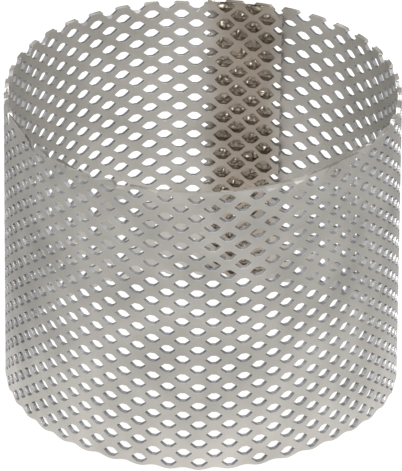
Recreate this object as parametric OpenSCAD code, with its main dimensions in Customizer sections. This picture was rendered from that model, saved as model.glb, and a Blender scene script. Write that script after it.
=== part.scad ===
// Tree guard tube: a strip of expanded steel mesh rolled into a short tube, open at both
// ends, its two ends lapped one over the other and spot welded through the lap.
// Z is up. The tube stands on its lower rim and the lapped seam is on the +Y side.

/* [Tube] */
// Diameter over the outside of the mesh
tube_d = 135; // [90:1:145]
// Height from the lower rim to the upper rim
tube_h = 108.5; // [50:0.5:116]
// Thickness of the mesh over its tilted strands
mesh_t = 1.8; // [1.2:0.1:3]

/* [Mesh] */
// Long way of one diamond, which runs round the tube (adjusted slightly to a whole count)
long_way = 10; // [9.5:0.1:14]
// Short way of one diamond, which runs up the tube
short_way = 7.15; // [6.8:0.05:10]
// Height of the bond between one opening and the next above it
bond_h = 2.85; // [2.4:0.05:4]
// Metal left between the point of an opening and the bend beside it
point_gap = 0.1; // [0.1:0.05:1]
// Angle by which each bond leans inwards at its top
strand_tilt = 10; // [0:1:20]
// Metal left under the lowest row of openings, where it is thinnest
rim_w = 0.1; // [0.1:0.05:1]
// Fall of the rows in one turn round the tube
row_fall = 0.95; // [0:0.05:1.2]

/* [Seam] */
// Turn of the middle of the welds from the +Y direction, towards +X
seam_turn = 12.8; // [-180:0.1:180]
// Columns of openings in the width of the lap
lap_columns = 5; // [5:1:8]
// Length over which the inner end is stepped inwards to pass behind the outer end
step_w = 17.5; // [12:0.5:30]
// Distance from the foot of that step to the outer end
step_clear = 2.4; // [1:0.1:6]
// Space left between the two layers, which the weld metal bridges
weld_gap = 0.15; // [0.1:0.01:0.3]
// Depth of each weld below the face of the inner layer
weld_sink = 0.5; // [0.2:0.05:0.8]

/* [Hidden] */
outer_r = tube_d / 2;
mid_r = outer_r - mesh_t / 2;
half_t = mesh_t / 2;
lap_r = mid_r - mesh_t - weld_gap;       // middle of the inner layer
deg = 180 / (PI * mid_r);                // degrees for one millimetre round the tube

// The two ends meet out of step, by this share of a column.
end_shift = 0.77;
columns = round(2 * PI * mid_r / long_way - end_shift) + end_shift;
half_a = 180 / columns;                  // angle between neighbouring columns
turn_fall = row_fall / (2 * columns);    // fall from one column to the next

// An opening keeps to the flat of its own column and leaves the bonds above and below.
eye_l = 2 * (mid_r * tan(half_a / 2) - point_gap);
eye_h = short_way - bond_h;
row_start = rim_w + row_fall + half_t * tan(strand_tilt) + eye_h / 2 / cos(strand_tilt);

// Four lines of welds fill columns 1 to 4. The inner end of the strip is cut just short of
// the middle of column 0 and the outer end just past the points of a column, so that no
// opening leaves a loose corner at either.
weld_lines = 4;
inner_trim = 0.1;                        // in millimetres round the tube
outer_share = 0.18;                      // as a share of a column
first_column = seam_turn + (weld_lines + 1) / 2 * half_a;
inner_edge = first_column - inner_trim * deg;
outer_edge = first_column - (lap_columns + outer_share) * half_a - 360;  // a turn further on
step_end = outer_edge + 360 - step_clear * deg;
step_from = step_end - step_w * deg;
last_k = ceil((first_column - outer_edge) / half_a);
// last column that the outer end covers, and first column that covers the inner end
lap_k = floor((first_column - outer_edge - 360) / half_a + 1 / 2);
over_k = ceil((first_column - inner_edge + 360) / half_a - 1 / 2);

// far enough each way to pass right through one layer, tilted or not
reach = half_t + eye_h * sin(strand_tilt) + half_t;

// Angles are taken from +Y towards +X, as the lap is seen from inside the tube, and the
// columns are counted from the inner end of the strip. The bonds stay flat when the mesh
// is rolled, so each column has its own flat and the strip bends between the flats.
function column_angle(k) = first_column - k * half_a;
function column_z(k) = row_start + (k % 2 == 1 ? 0 : short_way / 2) - k * turn_fall;
function strip_r(a) =
    mid_r - (mid_r - lap_r) * min(max((a - step_from) / (step_end - step_from), 0), 1);
function flat_r(a) = strip_r(a) * cos(half_a / 2);
function plan(a, r) = [r * sin(a), r * cos(a)];

// One opening, cut along a line that falls outwards with the tilt of the bonds, from `into`
// inside the middle of the sheet to `out` outside it.
module opening(k, z, tilt, into, out) {
    rotate([0, 0, 90 - column_angle(k)])
        translate([flat_r(column_angle(k)), 0, z])
            rotate([0, 90 + tilt, 0])
                translate([0, 0, -into])
                    linear_extrude(into + out)
                        polygon([[0, eye_l / 2], [-eye_h / 2, 0],
                                 [0, -eye_l / 2], [eye_h / 2, 0]]);
}

module openings(from_k, to_k, tilt, into, out) {
    for (k = [from_k : to_k])
        for (z = [column_z(k) - short_way : short_way : tube_h + eye_h / 2])
            if (z > -eye_h / 2) opening(k, z, tilt, into, out);
}

// A length of the strip between two angles, bent at the edge of each column's flat.
module strip(from, to) {
    bends = concat([from],
                   [for (k = [0 : last_k]) if (column_angle(k + 1 / 2) < from
                       && column_angle(k + 1 / 2) > to) column_angle(k + 1 / 2)],
                   [to]);
    linear_extrude(tube_h)
        polygon(concat(
            [for (a = bends) plan(a, strip_r(a) + half_t)],
            [for (i = [len(bends) - 1 : -1 : 0]) plan(bends[i], strip_r(bends[i]) - half_t)]));
}

// The rolled mesh. In the lap both layers are pressed flat for welding, so their openings
// are square to the sheet there and stop in the space between the layers.
module mesh_sheet() {
    color([0.66, 0.64, 0.61])
        difference() {
            strip(inner_edge, outer_edge);
            openings(0, lap_k, 0, reach, half_t + weld_gap / 2);
            openings(lap_k + 1, over_k - 1, strand_tilt, reach, reach);
            openings(over_k, last_k, 0, half_t + weld_gap / 2, reach);
        }
}

// One line of welds: each fills an opening of the inner layer and ends on the outer one.
module weld_line(k) {
    color([0.45, 0.37, 0.28])
        difference() {
            for (z = [column_z(k) : short_way : tube_h - eye_h / 2 - rim_w])
                opening(k, z, 0, half_t - weld_sink, mesh_t + weld_gap);
            strip(column_angle(over_k - 3 / 2), outer_edge);
        }
}

mesh_sheet();
weld_line(1);  // weld_line_1
weld_line(2);  // weld_line_2
weld_line(3);  // weld_line_3
weld_line(4);  // weld_line_4
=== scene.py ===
import math

import bmesh
import bpy
import numpy as np
from mathutils import Matrix, Vector


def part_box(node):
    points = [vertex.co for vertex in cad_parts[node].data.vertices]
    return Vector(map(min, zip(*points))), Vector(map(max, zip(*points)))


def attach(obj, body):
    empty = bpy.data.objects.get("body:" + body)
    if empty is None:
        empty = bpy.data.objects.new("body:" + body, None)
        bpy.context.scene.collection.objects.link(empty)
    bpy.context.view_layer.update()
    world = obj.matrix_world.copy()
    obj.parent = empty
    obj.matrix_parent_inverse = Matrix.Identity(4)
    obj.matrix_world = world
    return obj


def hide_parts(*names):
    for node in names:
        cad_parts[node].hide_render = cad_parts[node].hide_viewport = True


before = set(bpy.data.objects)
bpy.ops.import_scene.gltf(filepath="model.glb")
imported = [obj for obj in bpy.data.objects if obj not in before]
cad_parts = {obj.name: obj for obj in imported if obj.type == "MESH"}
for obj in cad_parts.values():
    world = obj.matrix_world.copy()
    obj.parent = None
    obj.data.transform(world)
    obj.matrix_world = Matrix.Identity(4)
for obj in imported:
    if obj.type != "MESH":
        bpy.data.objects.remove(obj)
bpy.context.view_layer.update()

# ---------------------------------------------------------------------------------------
# The mesh sheet. One strip of expanded stainless steel: slit and stretched so that every
# strand lies tilted like a louvre, then rolled into a tube with its two ends lapped. The
# lower rim is the strip's own edge, and the upper rim is sheared through the diamonds.

mm = 0.001
sheet_low, sheet_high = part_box("mesh_sheet")
tube_height = sheet_high.z - sheet_low.z
tube_radius = (sheet_high.x - sheet_low.x) / 2

LONG_WAY, SHORT_WAY = 10.0 * mm, 7.15 * mm
PITCH = LONG_WAY / 2                       # from one column of openings to the next
COLUMNS_A_TURN = 83.54                     # columns in one turn of the tube
COLUMN_ANGLE = math.radians(360 / COLUMNS_A_TURN)
FIRST_COLUMN = math.radians(23.6)          # column 0, from +Y towards +X
INNER_END, OUTER_END = -0.12, 88.80        # the strip's two ends, in columns
LOWEST_ROW, ROW_FALL = 3.35 * mm, 0.95 * mm / COLUMNS_A_TURN
LEAN = math.radians(0.85) / (67.5 * mm)    # the columns lean round as they rise

STRAND = 1.5 * mm                          # thickness of the steel
SWING = 0.05 * mm                          # how far a bond's edges stand in and out
RIPPLE = 0.35                              # share of it, twice as fine, beside the bonds
SHEAR_ANGLE = math.radians(10)             # the slit faces slope down towards the outside
LIP, LIP_SHARE, BEVEL = 0.14 * mm, 0.4, 0.06 * mm    # the worn edge of every opening
EYE = (1, 0), (0.80, 0.31), (0.55, 0.68), (0.27, 1)  # a quarter of its outline, in shares
OPENING_LONG, OPENING_SHORT = 5.6 * mm, 3.25 * mm
LAPPED_LONG, LAPPED_SHORT = 4.9 * mm, 2.5 * mm    # squeezed, in the outer layer of the lap
WELDED_LONG, WELDED_SHORT = 6.5 * mm, 4.5 * mm    # melted back by a weld

LAP = COLUMNS_A_TURN + INNER_END, OUTER_END - COLUMNS_A_TURN
LAP_PRESSED, LAP_FADE = 0.45, 1.5          # what pressing left of the swing, and its reach
LAYER_STEP = STRAND + 0.35 * mm            # the inner layer sits this far inside the outer
STEP_COLUMNS = 5.2, 9.2                    # the inner end is stepped in between these
WELD_COLUMNS = 1, 2, 3, 4                  # the columns that are filled by welds
sheet_mid = tube_radius - STRAND / 2 - SWING


def eased(share):
    """A share from 0 to 1 that starts and stops gently."""
    return share * share * (3 - 2 * share)


def opening_and_cell(long, short):
    """The outline of one opening and of the six-sided cell round it, point for point."""
    a, b = long / 2, short / 2
    right = [(along * a, up * b) for along, up in EYE]
    cell_x = (PITCH ** 2 + (SHORT_WAY / 2) ** 2) / (2 * PITCH)
    top_x = (PITCH ** 2 - (SHORT_WAY / 2) ** 2) / (2 * PITCH)
    side = [(cell_x + (top_x - cell_x) * t / 3, SHORT_WAY / 2 * t / 3) for t in range(4)]

    def all_round(quarter):
        q = np.array(quarter)
        left = q[::-1] * (-1, 1)
        half = np.vstack([q, left])
        return np.vstack([half, -half[1:-1]])

    return all_round(right), all_round(side)


def louvre(x, z):
    """How far the middle of the steel stands outwards, x and z from an opening's middle."""
    across = np.cos(math.pi * x / PITCH)
    return -SWING * (across * np.sin(2 * math.pi * z / SHORT_WAY)
                     + RIPPLE * (1 - across ** 2) * np.sin(4 * math.pi * z / SHORT_WAY))


ROW_SPREAD = 0.0195                        # bending the strip drew its rows apart this much
BACK_LIFT = 0.7 * mm                       # and raised them at the back
STEADY_RIM = 25 * mm                       # but less and less below this height


def settle(x, z):
    """Heights after rolling. The rows spread upwards from the lower rim at the front, and
    downwards from the upper rim at the back."""
    front = eased((1 - np.cos(FIRST_COLUMN - x / PITCH * COLUMN_ANGLE)) / 2)
    back = (1 - front) * eased(np.clip(z / STEADY_RIM, 0, 1))
    return z + ROW_SPREAD * (front * z - back * (tube_height - z)) + BACK_LIFT * back


def pressed(column):
    """1 over most of the strip, and less where the lap was squeezed flat to weld it."""
    inner = np.clip((column - LAP[1]) / LAP_FADE, 0, 1)
    outer = np.clip((LAP[0] - column) / LAP_FADE, 0, 1)
    return LAP_PRESSED + (1 - LAP_PRESSED) * np.minimum(inner, outer)


def whole_cell(long, short):
    """Six rings round one opening, from its cell's edge over the outer face, through the
    cut and back over the inner face: x, outwards, z, and how far the louvre moves it."""
    opening, cell = opening_and_cell(long, short)
    gap = np.linalg.norm(cell - opening, axis=1, keepdims=True)
    lip = opening + (cell - opening) * np.minimum(LIP / gap, LIP_SHARE)
    rings = [(cell, STRAND / 2), (lip, STRAND / 2), (opening, STRAND / 2 - BEVEL)]
    rings += [(ring, -out) for ring, out in reversed(rings)]
    return np.vstack([np.stack([ring[:, 0], np.full(len(ring), out),
                                ring[:, 1] - out * math.tan(SHEAR_ANGLE),
                                louvre(ring[:, 0], ring[:, 1])], axis=1)
                      for ring, out in rings])


SPARE = 0.5 * mm                           # a cell this far past a rim is left out
SAME_POINT = 0.01 * mm


def flat_sheet():
    """The strip before it is rolled: its points, its four-sided faces, and which of the
    faces were sheared."""
    plain = whole_cell(OPENING_LONG, OPENING_SHORT)
    welded = whole_cell(WELDED_LONG, WELDED_SHORT)
    lapped = whole_cell(LAPPED_LONG, LAPPED_SHORT)
    n = len(plain) // 6
    faces, edge = [], []
    for r in range(5):
        for i in range(n):
            j = (i + 1) % n
            faces.append((r * n + i, r * n + j, (r + 1) * n + j, (r + 1) * n + i))
            edge.append(1 if r in (1, 2, 3) else 0)
    faces, edge = np.array(faces), np.array(edge)
    points, quads, sheared = [], [], []
    count = 0
    for k in range(-1, int(OUTER_END) + 3):
        if k in WELD_COLUMNS:
            cell = welded
        elif k >= COLUMNS_A_TURN - 1:
            cell = lapped
        else:
            cell = plain
        middle = LOWEST_ROW + (0 if k % 2 else SHORT_WAY / 2)
        for row in range(-1, int(tube_height / SHORT_WAY) + 3):
            p = cell.copy()
            p[:, 0] += k * PITCH
            p[:, 2] += middle + row * SHORT_WAY - p[:, 0] / PITCH * ROW_FALL
            p[:, 2] = settle(p[:, 0], p[:, 2])
            if p[:, 2].max() < -SPARE or p[:, 2].min() > tube_height + SPARE:
                continue
            p[:, 1] += p[:, 3] * pressed(p[:, 0] / PITCH)
            points.append(p[:, :3])
            quads.append(faces + count)
            sheared.append(edge)
            count += len(p)
    points, quads = np.vstack(points), np.vstack(quads)
    _, first, same = np.unique(np.round(points / SAME_POINT).astype(np.int64), axis=0,
                               return_index=True, return_inverse=True)
    return points[first], same.reshape(-1)[quads], np.concatenate(sheared)


points, quads, sheared = flat_sheet()
sheet_mesh = bpy.data.meshes.new("flat_strip")
sheet_mesh.from_pydata(points.tolist(), [], quads.tolist())
sheet_mesh.polygons.foreach_set("material_index", sheared.astype(np.int32))
strip = bmesh.new()
strip.from_mesh(sheet_mesh)

# The rims are sheared straight through a strip whose edges are first drawn out of shape,
# and go back afterwards: that leaves scallops at the bottom, and tabs with gaps at the top.
SCALLOP = 0.9 * mm
SCALLOP_BAND, TAB_BAND = 3.2 * mm, 4.5 * mm     # cut finer there, to follow the curves
TOP_ROW = 14.5                             # where the last diamonds are sheared through
GAP_HALF, GAP_MOST = 2.65 * mm, 2.95 * mm
GAP_ROOM, GAP_CLOSES = 1.5 * mm, 1.1       # a gap is narrower where its row lies lower
GAP_SLOPE = 1.3
FRONT_DIP = 1.3 * mm


def lower_rim(x):
    """The lower rim hangs in a shallow curve under each opening of the lowest row."""
    return SCALLOP * math.sin(math.pi * (x / PITCH - 1) / 2) ** 2


def upper_rim(x):
    """How far the upper rim lies below the tube's height: in the gaps between its tabs,
    where the half-open diamonds lost their closing strands, and a little at the front."""
    from_gap = abs((x / PITCH + 1) % 2 - 1) * PITCH
    row = settle(x, LOWEST_ROW + TOP_ROW * SHORT_WAY - x / PITCH * ROW_FALL)
    half_gap = min(GAP_HALF - GAP_CLOSES * (tube_height - row - GAP_ROOM), GAP_MOST)
    front = max(0.0, -math.cos(FIRST_COLUMN - x / PITCH * COLUMN_ANGLE))
    return GAP_SLOPE * max(0.0, half_gap - from_gap) + FRONT_DIP * front ** 2


def cut_finer(low, high, cuts):
    band = [e for e in strip.edges if all(low < v.co.z < high for v in e.verts)]
    bmesh.ops.subdivide_edges(strip, edges=band, cuts=cuts, use_grid_fill=True)


def draw_rims(way):
    """Draws both edges of the strip out of shape, or with -1 back again."""
    for v in strip.verts:
        if v.co.z > tube_height / 2:
            v.co.z += way * upper_rim(v.co.x)
        else:
            v.co.z -= way * lower_rim(v.co.x)


def shear(point, outward):
    """Shears the strip along a plane and closes the cut."""
    cut = bmesh.ops.bisect_plane(strip, geom=strip.verts[:] + strip.edges[:] + strip.faces[:],
                                 dist=1e-7, plane_co=point, plane_no=outward,
                                 clear_outer=True)
    edges = [e for e in cut["geom_cut"] if isinstance(e, bmesh.types.BMEdge)]
    bmesh.ops.holes_fill(strip, edges=edges, sides=0)


cut_finer(tube_height - TAB_BAND, 1, 2)
cut_finer(-1, SCALLOP_BAND, 1)
draw_rims(1)
shear((0, 0, tube_height), (0, 0, 1))
shear((0, 0, 0), (0, 0, -1))
draw_rims(-1)
shear((INNER_END * PITCH, 0, 0), (-1, 0, 0))
shear((OUTER_END * PITCH, 0, 0), (1, 0, 0))
bmesh.ops.delete(strip, geom=[v for v in strip.verts if not v.link_faces], context="VERTS")
bmesh.ops.recalc_face_normals(strip, faces=strip.faces[:])
strip.to_mesh(sheet_mesh)
strip.free()

# The tube is out of round, and its columns are drawn apart or together round it to suit.
FULLER = 1.1 * mm                          # at both back corners
DENT, DENT_AT, DENT_WIDTH = 2.1 * mm, math.radians(142), math.radians(24)   # front right
DRAWN_FROM = math.radians(20)
DRAWN_LEFT, LEFT_REACH = math.radians(1.55), math.radians(120)
DRAWN_RIGHT, RIGHT_REACH = math.radians(0.9), math.radians(80)
DRAWN_DENT = math.radians(1.5)
DRAWN_FRONT, FRONT_AT, FRONT_WIDTH = math.radians(0.5), math.radians(147), math.radians(25)


def out_of_round(turn):
    """How far the wall stands out from the circle, and how far round it has moved."""
    a = (turn + math.pi) % (2 * math.pi) - math.pi
    full = FULLER * np.where(np.abs(a) < math.pi / 2, np.sin(2 * a) ** 2, 0)
    dent = np.exp(-(((a - DENT_AT) / DENT_WIDTH) ** 2))
    left = np.clip((DRAWN_FROM - a) / LEFT_REACH, 0, 1)
    right = np.clip((a - DRAWN_FROM) / RIGHT_REACH, 0, 1)
    drawn = (-DRAWN_LEFT * np.sin(math.pi * left) ** 2
             + DRAWN_RIGHT * np.sin(math.pi * right) ** 2 - DRAWN_DENT * dent
             + DRAWN_FRONT * np.exp(-(((a + FRONT_AT) / FRONT_WIDTH) ** 2)))
    return full - DENT * dent, drawn


def roll(flat):
    """Rolls points of the flat strip (along it, outwards, up) into the tube."""
    column = flat[:, 0] / PITCH
    step = np.clip((STEP_COLUMNS[1] - column) / (STEP_COLUMNS[1] - STEP_COLUMNS[0]), 0, 1)
    radius = sheet_mid - LAYER_STEP * eased(step) + flat[:, 1]
    turn = FIRST_COLUMN - column * COLUMN_ANGLE + LEAN * (flat[:, 2] - tube_height / 2)
    out, drawn = out_of_round(turn)
    radius, turn = radius + out, turn + drawn
    return np.stack([radius * np.sin(turn), radius * np.cos(turn), flat[:, 2]], axis=1)


flat_points = np.zeros(len(sheet_mesh.vertices) * 3)
sheet_mesh.vertices.foreach_get("co", flat_points)
sheet_mesh.vertices.foreach_set("co", roll(flat_points.reshape(-1, 3)).ravel())

# The steel is dull and slightly cloudy with a fine rolled grain. Welding browned it in a
# patchy band along the seam.
SEAM_MIDDLE = FIRST_COLUMN - 2.5 * COLUMN_ANGLE
HEAT_FULL, HEAT_ENDS, HEAT_PATCHES = math.radians(7), math.radians(19), math.radians(7)
HEAT_TINT = (0.60, 0.47, 0.35, 1)
CLOUDS_A_METRE = 60
ROUGH_EITHER_WAY = 0.1
GRAIN_DEPTH, GRAIN_SHOWS = 0.1 * mm, 0.6


def maths(tree, operation, *values):
    """A sum of links and plain numbers."""
    node = tree.nodes.new("ShaderNodeMath")
    node.operation = operation
    for socket, value in zip(node.inputs, values):
        if isinstance(value, (int, float)):
            socket.default_value = value
        else:
            tree.links.new(value, socket)
    return node.outputs["Value"]


def between(tree, value, start, end, at_start, at_end, way="LINEAR"):
    """Turns a value from start to end into one from at_start to at_end."""
    node = tree.nodes.new("ShaderNodeMapRange")
    node.interpolation_type = way
    for name, number in (("From Min", start), ("From Max", end),
                         ("To Min", at_start), ("To Max", at_end)):
        node.inputs[name].default_value = number
    tree.links.new(value, node.inputs["Value"])
    return node.outputs["Result"]


def steel(name, light, dark, rough, grain, metal, heated):
    """Stainless steel with cloudy tones from dark to light, a grain of so many to the
    metre, and so much of the heat tint."""
    finish = bpy.data.materials.new(name)
    finish.use_nodes = True
    tree = finish.node_tree
    nodes, links = tree.nodes, tree.links
    nodes.clear()
    out = nodes.new("ShaderNodeOutputMaterial")
    shader = nodes.new("ShaderNodeBsdfPrincipled")
    shader.inputs["Metallic"].default_value = metal
    links.new(shader.outputs[0], out.inputs[0])
    place = nodes.new("ShaderNodeTexCoord").outputs["Object"]

    def noise(scale, detail):
        made = nodes.new("ShaderNodeTexNoise")
        made.inputs["Scale"].default_value = scale
        made.inputs["Detail"].default_value = detail
        links.new(place, made.inputs["Vector"])
        return made.outputs["Fac"]

    clouds, fine = noise(CLOUDS_A_METRE, 5), noise(grain, 6)
    tones = nodes.new("ShaderNodeValToRGB")
    tones.color_ramp.elements[0].position = 0.3
    tones.color_ramp.elements[0].color = (*dark, 1)
    tones.color_ramp.elements[1].position = 0.7
    tones.color_ramp.elements[1].color = (*light, 1)
    links.new(clouds, tones.inputs["Fac"])

    axes = nodes.new("ShaderNodeSeparateXYZ")
    links.new(place, axes.inputs[0])
    turn = maths(tree, "ARCTAN2", axes.outputs["X"], axes.outputs["Y"])
    aside = maths(tree, "ABSOLUTE", maths(tree, "SUBTRACT", turn, SEAM_MIDDLE))
    patchy = maths(tree, "MULTIPLY_ADD", clouds, HEAT_PATCHES, aside)
    heat = between(tree, patchy, HEAT_FULL, HEAT_ENDS, heated, 0, "SMOOTHSTEP")
    tint = nodes.new("ShaderNodeMix")
    tint.data_type = "RGBA"
    tint.blend_type = "MULTIPLY"
    tint.inputs["B"].default_value = HEAT_TINT
    links.new(heat, tint.inputs["Factor"])
    links.new(tones.outputs["Color"], tint.inputs["A"])
    links.new(tint.outputs["Result"], shader.inputs["Base Color"])

    roughness = between(tree, fine, 0, 1, rough - ROUGH_EITHER_WAY, rough + ROUGH_EITHER_WAY)
    links.new(roughness, shader.inputs["Roughness"])
    bump = nodes.new("ShaderNodeBump")
    bump.inputs["Strength"].default_value = GRAIN_SHOWS
    bump.inputs["Distance"].default_value = GRAIN_DEPTH
    links.new(fine, bump.inputs["Height"])
    links.new(bump.outputs["Normal"], shader.inputs["Normal"])
    return finish


sheet_mesh.materials.append(steel("rolled_face", (0.51, 0.487, 0.45), (0.39, 0.373, 0.343),
                                  rough=0.42, grain=900, metal=0.6, heated=0.62))
sheet_mesh.materials.append(steel("sheared_face", (0.54, 0.54, 0.545), (0.36, 0.36, 0.365),
                                  rough=0.38, grain=1600, metal=0.85, heated=0.9))
sheet_mesh.update()
sheet = bpy.data.objects.new("mesh_sheet_rolled", sheet_mesh)
bpy.context.scene.collection.objects.link(sheet)
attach(sheet, "root")
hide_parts("mesh_sheet")

# ---------------------------------------------------------------------------------------
# The welds. Four lines of resistance-weld nuggets: steel that melted and flowed into the
# openings of the inner layer and froze on the outer one, in lumps, brown from the heat.

WELD_SINK, WELD_HOLLOW = 0.85 * mm, 0.55 * mm    # below the inner face, and more in the middle
WELD_ROOT = LAYER_STEP - STRAND / 2 - 0.05 * mm  # it is fused to the outer layer here
WELD_PROUD, WELD_LEAST = 0.1 * mm, 0.1 * mm      # most above that face, and least thickness
WELD_FILLS = 1.04                          # slightly into the edges of its opening
WELD_ROWS, WELD_HEADROOM = 16, 1.2 * mm          # a top weld may be cut off by this much
WELD_RINGS = 0.0, 0.18, 0.36, 0.54, 0.7, 0.84, 0.94, 1.0
PAINTED_SHADE_BELOW = -0.27 * WELDED_SHORT         # below this, the lower edge of each lump is painted dark as painted shade
LOWEST_WELD, HIGHEST_WELD = 0.2 * mm, tube_height - 0.1 * mm

weld_metal = steel("weld_metal", (0.42, 0.37, 0.305), (0.22, 0.185, 0.145),
                   rough=0.36, grain=900, metal=0.85, heated=0)
# Painted shade: a near-black brown for the lower edge of each lump, where shade falls.
lump_underside_painted_shade = steel("lump_underside_painted_shade", (0.13, 0.10, 0.07), (0.05, 0.037, 0.025),
                    rough=0.45, grain=900, metal=0.8, heated=0)
chance = np.random.default_rng(7)


def between_mm(low, high):
    return chance.uniform(low, high) * mm


def weld_places(k):
    """The middles of the welds in one column, along the strip and up it."""
    low = LOWEST_ROW + (0 if k % 2 else SHORT_WAY / 2) - k * ROW_FALL
    heights = [settle(k * PITCH, low + row * SHORT_WAY) for row in range(WELD_ROWS)]
    return [(k * PITCH, z) for z in heights
            if z < tube_height - OPENING_SHORT / 2 + WELD_HEADROOM]


def nugget(x0, z0):
    """One frozen lump, round the middle of an opening, as flat-strip points and faces."""
    opening, _ = opening_and_cell(WELDED_LONG, WELDED_SHORT)
    around = np.vstack([opening, (opening + np.roll(opening, -1, axis=0)) / 2])
    order = np.argsort(np.arctan2(around[:, 1], around[:, 0]))
    around = around[order] * WELD_FILLS
    n = len(around)
    # where each lump and pit is, how tall it is and how wide
    lumps = [(between_mm(-1.9, 1.9), between_mm(-0.9, 1.3),
              between_mm(0.45, 0.9), between_mm(0.45, 0.85)) for _ in range(5)]
    pits = [(between_mm(-1.6, 1.6), between_mm(-1.3, 0.5),
             -between_mm(0.4, 0.8), between_mm(0.45, 0.8)) for _ in range(3)]
    pts = []
    for share in WELD_RINGS:
        for ax, az in around * share:
            lift = 0.0
            for bx, bz, tall, wide in lumps + pits:
                lift += tall * math.exp(-((ax - bx) ** 2 + (az - bz) ** 2) / wide ** 2)
            out = -STRAND / 2 + WELD_SINK + WELD_HOLLOW * (1 - share ** 2) - lift
            out = min(max(out, -STRAND / 2 - WELD_PROUD), WELD_ROOT - WELD_LEAST)
            pts.append((x0 + ax, out, z0 + az))
    for ax, az in around:
        pts.append((x0 + ax, WELD_ROOT, z0 + az))
    faces = []
    for r in range(len(WELD_RINGS)):
        for i in range(n):
            j = (i + 1) % n
            faces.append((r * n + i, (r + 1) * n + i, (r + 1) * n + j, r * n + j))
    faces.append(tuple(len(WELD_RINGS) * n + i for i in range(n)))
    return pts, faces


for k in WELD_COLUMNS:
    pts, faces, below = [], [], []
    for x, z in weld_places(k):
        lump_points, lump_faces = nugget(x, z)
        below += [point[2] - z for point in lump_points]
        faces += [tuple(i + len(pts) for i in face) for face in lump_faces]
        pts += lump_points
    pts = np.array(pts)
    pts[:, 2] = np.clip(pts[:, 2], LOWEST_WELD, HIGHEST_WELD)
    line_mesh = bpy.data.meshes.new("weld_line_%d_nuggets" % k)
    line_mesh.from_pydata(roll(pts).tolist(), [], faces)
    line_mesh.materials.append(weld_metal)
    line_mesh.materials.append(lump_underside_painted_shade)
    # Painted shade: faces along the lower edge of each lump take the dark material.
    for face in line_mesh.polygons:
        if np.mean([below[i] for i in face.vertices]) < PAINTED_SHADE_BELOW:
            face.material_index = 1
    lumps = bmesh.new()
    lumps.from_mesh(line_mesh)
    bmesh.ops.remove_doubles(lumps, verts=lumps.verts[:], dist=1e-6)
    bmesh.ops.recalc_face_normals(lumps, faces=lumps.faces[:])
    for face in lumps.faces:
        face.smooth = True
    lumps.to_mesh(line_mesh)
    lumps.free()
    line = bpy.data.objects.new("weld_line_%d_nuggets" % k, line_mesh)
    bpy.context.scene.collection.objects.link(line)
    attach(line, "root")
    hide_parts("weld_line_%d" % k)

# ---------------------------------------------------------------------------------------
# The studio. The tube stands on a brighter glowing strip, painted light that fills its shadow,
# which runs back over a pale floor. The room is bright above and in front and dark behind,
# and one large soft lamp hangs in front.

PAINTED_LIGHT_EDGE, PAINTED_LIGHT_FADES = 0.080, 0.115       # metres from the tube's axis
# painted light: the strip's glow under the tube, beside the floor's even glow
PAINTED_LIGHT_GLOW, FLOOR_GLOW = 0.95, 0.40
FLOOR_HALF = 6.0

floor_finish = bpy.data.materials.new("pale_floor")
floor_finish.use_nodes = True
floor_tree = floor_finish.node_tree
floor_shader = floor_tree.nodes["Principled BSDF"]
floor_shader.inputs["Base Color"].default_value = (0.12, 0.12, 0.12, 1)
floor_shader.inputs["Roughness"].default_value = 0.9
floor_shader.inputs["Emission Color"].default_value = (1, 1, 1, 1)
floor_axes = floor_tree.nodes.new("ShaderNodeSeparateXYZ")
floor_tree.links.new(floor_tree.nodes.new("ShaderNodeTexCoord").outputs["Object"],
                     floor_axes.inputs[0])
across = between(floor_tree, maths(floor_tree, "ABSOLUTE", floor_axes.outputs["X"]),
                 PAINTED_LIGHT_EDGE, PAINTED_LIGHT_FADES, 1, 0, "SMOOTHSTEP")
along = between(floor_tree, floor_axes.outputs["Y"],
                -PAINTED_LIGHT_EDGE, -PAINTED_LIGHT_FADES, 1, 0, "SMOOTHSTEP")
# painted light: the glowing strip under and behind the tube, brighter than the rest of the
# floor
painted_light_patch = maths(floor_tree, "MULTIPLY", across, along)
glow = maths(floor_tree, "MULTIPLY_ADD", painted_light_patch, PAINTED_LIGHT_GLOW - FLOOR_GLOW, FLOOR_GLOW)
floor_tree.links.new(glow, floor_shader.inputs["Emission Strength"])

floor_mesh = bpy.data.meshes.new("floor")
floor_mesh.from_pydata([(-FLOOR_HALF, -FLOOR_HALF, 0), (FLOOR_HALF, -FLOOR_HALF, 0),
                        (FLOOR_HALF, FLOOR_HALF, 0), (-FLOOR_HALF, FLOOR_HALF, 0)],
                       [], [(0, 1, 2, 3)])
floor_mesh.materials.append(floor_finish)
floor = bpy.data.objects.new("floor", floor_mesh)
bpy.context.scene.collection.objects.link(floor)

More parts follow.
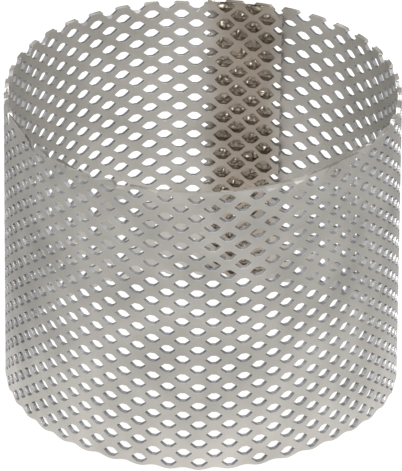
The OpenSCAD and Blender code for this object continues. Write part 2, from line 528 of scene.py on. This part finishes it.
ROOM_DARK, ROOM_BRIGHT = 0.12, 1.1
DARK_UP_TO, BRIGHT_FROM, FRONT_COUNTS = -0.4, 0.9, 0.9     # beside 1 for straight up
world = bpy.data.worlds.new("studio")
bpy.context.scene.world = world
world.use_nodes = True
room = world.node_tree
way = room.nodes.new("ShaderNodeSeparateXYZ")
room.links.new(room.nodes.new("ShaderNodeTexCoord").outputs["Generated"], way.inputs[0])
up_and_front = maths(room, "MULTIPLY_ADD", way.outputs["Y"], -FRONT_COUNTS, way.outputs["Z"])
room.links.new(between(room, up_and_front, DARK_UP_TO, BRIGHT_FROM, ROOM_DARK, ROOM_BRIGHT),
               room.nodes["Background"].inputs["Strength"])
room.nodes["Background"].inputs["Color"].default_value = (1, 1, 1, 1)

LAMP_PLACE, LAMP_SIZE, LAMP_WATTS = (0.25, -1.05, 1.4), 0.9, 22
lamp = bpy.data.lights.new("key", "AREA")
lamp.shape = "DISK"
lamp.size = LAMP_SIZE
lamp.energy = LAMP_WATTS
lamp_holder = bpy.data.objects.new("key", lamp)
lamp_holder.location = LAMP_PLACE
lamp_holder.rotation_mode = "QUATERNION"
lamp_holder.rotation_quaternion = Vector(LAMP_PLACE).to_track_quat("Z", "Y")
bpy.context.scene.collection.objects.link(lamp_holder)
bpy.context.scene.view_settings.view_transform = "Standard"

ELEVATION, ROLL = math.radians(29.67), math.radians(0.38)
DISTANCE = 42 * 67.5 * mm
AIM_LEFT, AIM_DOWN = 0.34, 1.25            # millimetres from the middle of the tube
camera_data = bpy.data.cameras.new("camera")
camera_data.sensor_width = 36
camera_data.lens = 634
camera_data.clip_start, camera_data.clip_end = 0.05, 50
camera = bpy.data.objects.new("camera", camera_data)
back = Vector((0, -math.cos(ELEVATION), math.sin(ELEVATION)))
up = Vector((0, math.sin(ELEVATION), math.cos(ELEVATION)))
right = Vector((1, 0, 0))
aim = Vector((0, 0, tube_height / 2)) - right * AIM_LEFT * mm - up * AIM_DOWN * mm
camera.location = aim + back * DISTANCE
camera.matrix_world = (Matrix.Translation(camera.location)
                       @ back.to_track_quat("Z", "Y").to_matrix().to_4x4()
                       @ Matrix.Rotation(ROLL, 4, "Z"))
bpy.context.scene.collection.objects.link(camera)
bpy.context.scene.camera = camera
